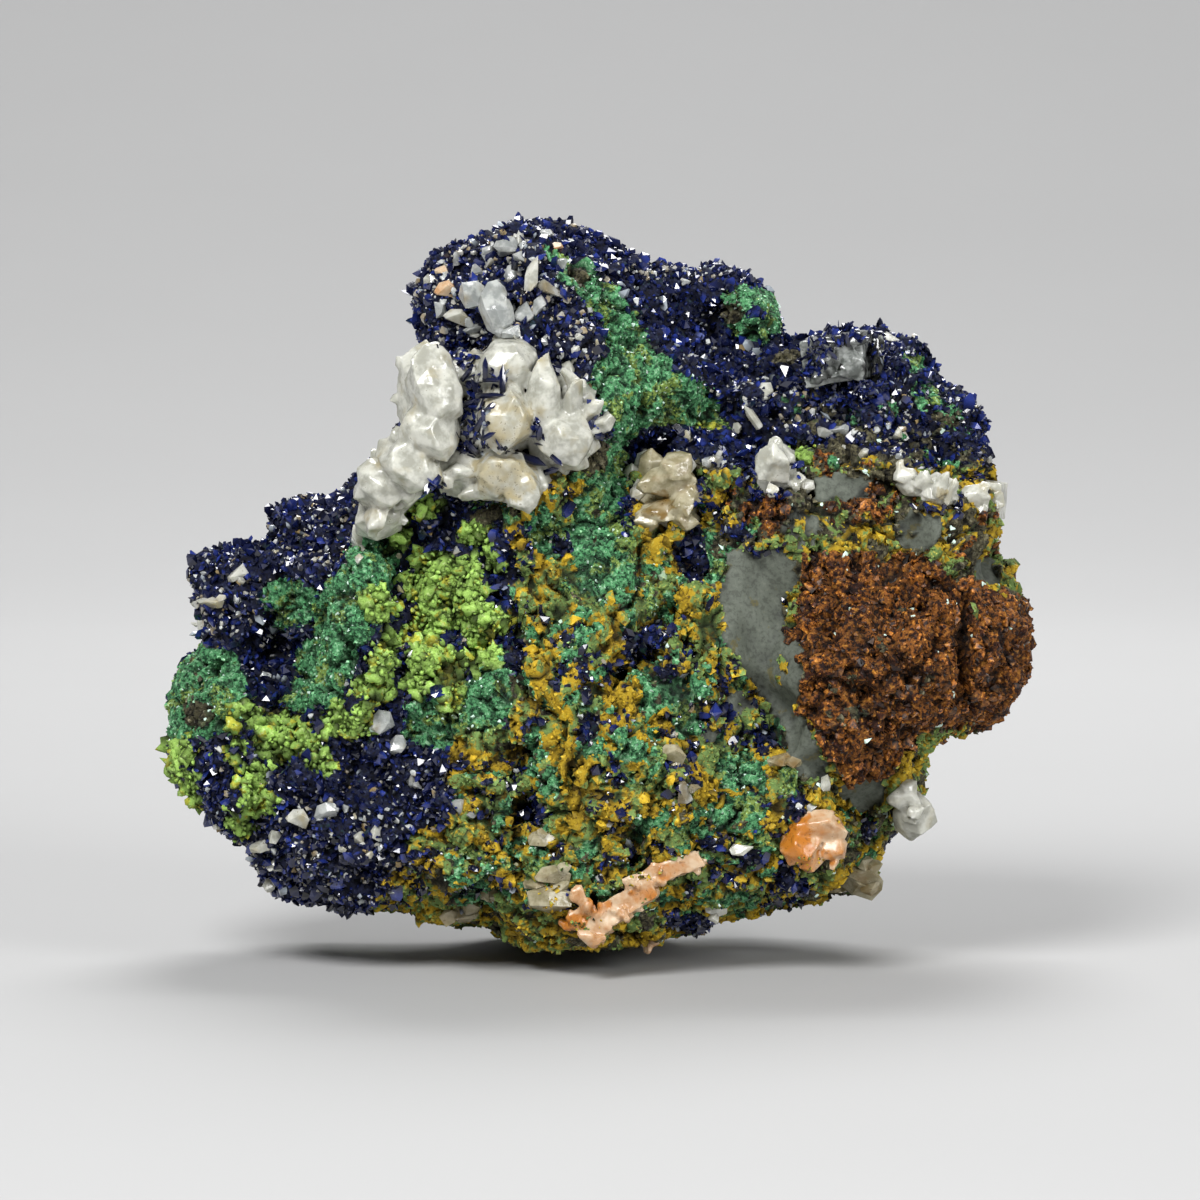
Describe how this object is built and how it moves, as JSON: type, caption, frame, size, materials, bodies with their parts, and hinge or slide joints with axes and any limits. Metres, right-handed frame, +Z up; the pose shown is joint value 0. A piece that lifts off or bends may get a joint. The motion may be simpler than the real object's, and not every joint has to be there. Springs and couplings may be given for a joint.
{
  "type": "azurite specimen",
  "caption": "Azurite and malachite crusts with white quartz and orange calcite crystals on a broken limonite rock, standing on its flat cut base.",
  "frame": {"origin": "on the ground, under the middle of the specimen's box", "axes": "+X to the right and +Z up as the front is seen; the front, with its crystals, faces -Y"},
  "size_m": [0.09, 0.0478, 0.0767],
  "materials": {
    "rock": "rough broken matrix rock with ochre and grey patches",
    "limonite": "rust-brown earthy limonite",
    "azurite": "deep blue glossy crystal druse",
    "malachite": "green velvety and granular crust",
    "grapes": "yellow-green grape-like malachite",
    "quartz": "milky translucent quartz",
    "smoky": "smoky clear quartz",
    "calcite": "orange and pink cleaved calcite"
  },
  "bodies": {
    "root": {"matrix_rock": "rock", "azurite_crown": "azurite", "azurite_knobs": "azurite", "azurite_hollow": "azurite", "azurite_flank": "azurite", "malachite_saddle": "malachite", "malachite_rib": "malachite", "green_ball": "malachite", "grapes_main": "grapes", "grapes_top": "grapes", "grapes_low": "grapes", "limonite_boss": "limonite", "quartz_cluster": "quartz", "quartz_peak_cluster": "quartz", "quartz_wedge": "quartz", "quartz_plate": "quartz", "quartz_right_cluster": "quartz", "quartz_right_block": "quartz", "quartz_corner": "quartz", "quartz_low_corner": "quartz", "quartz_low_centre": "quartz", "smoky_crystal": "smoky", "calcite_block": "calcite", "calcite_slabs": "calcite"}
  },
  "joints": []
}
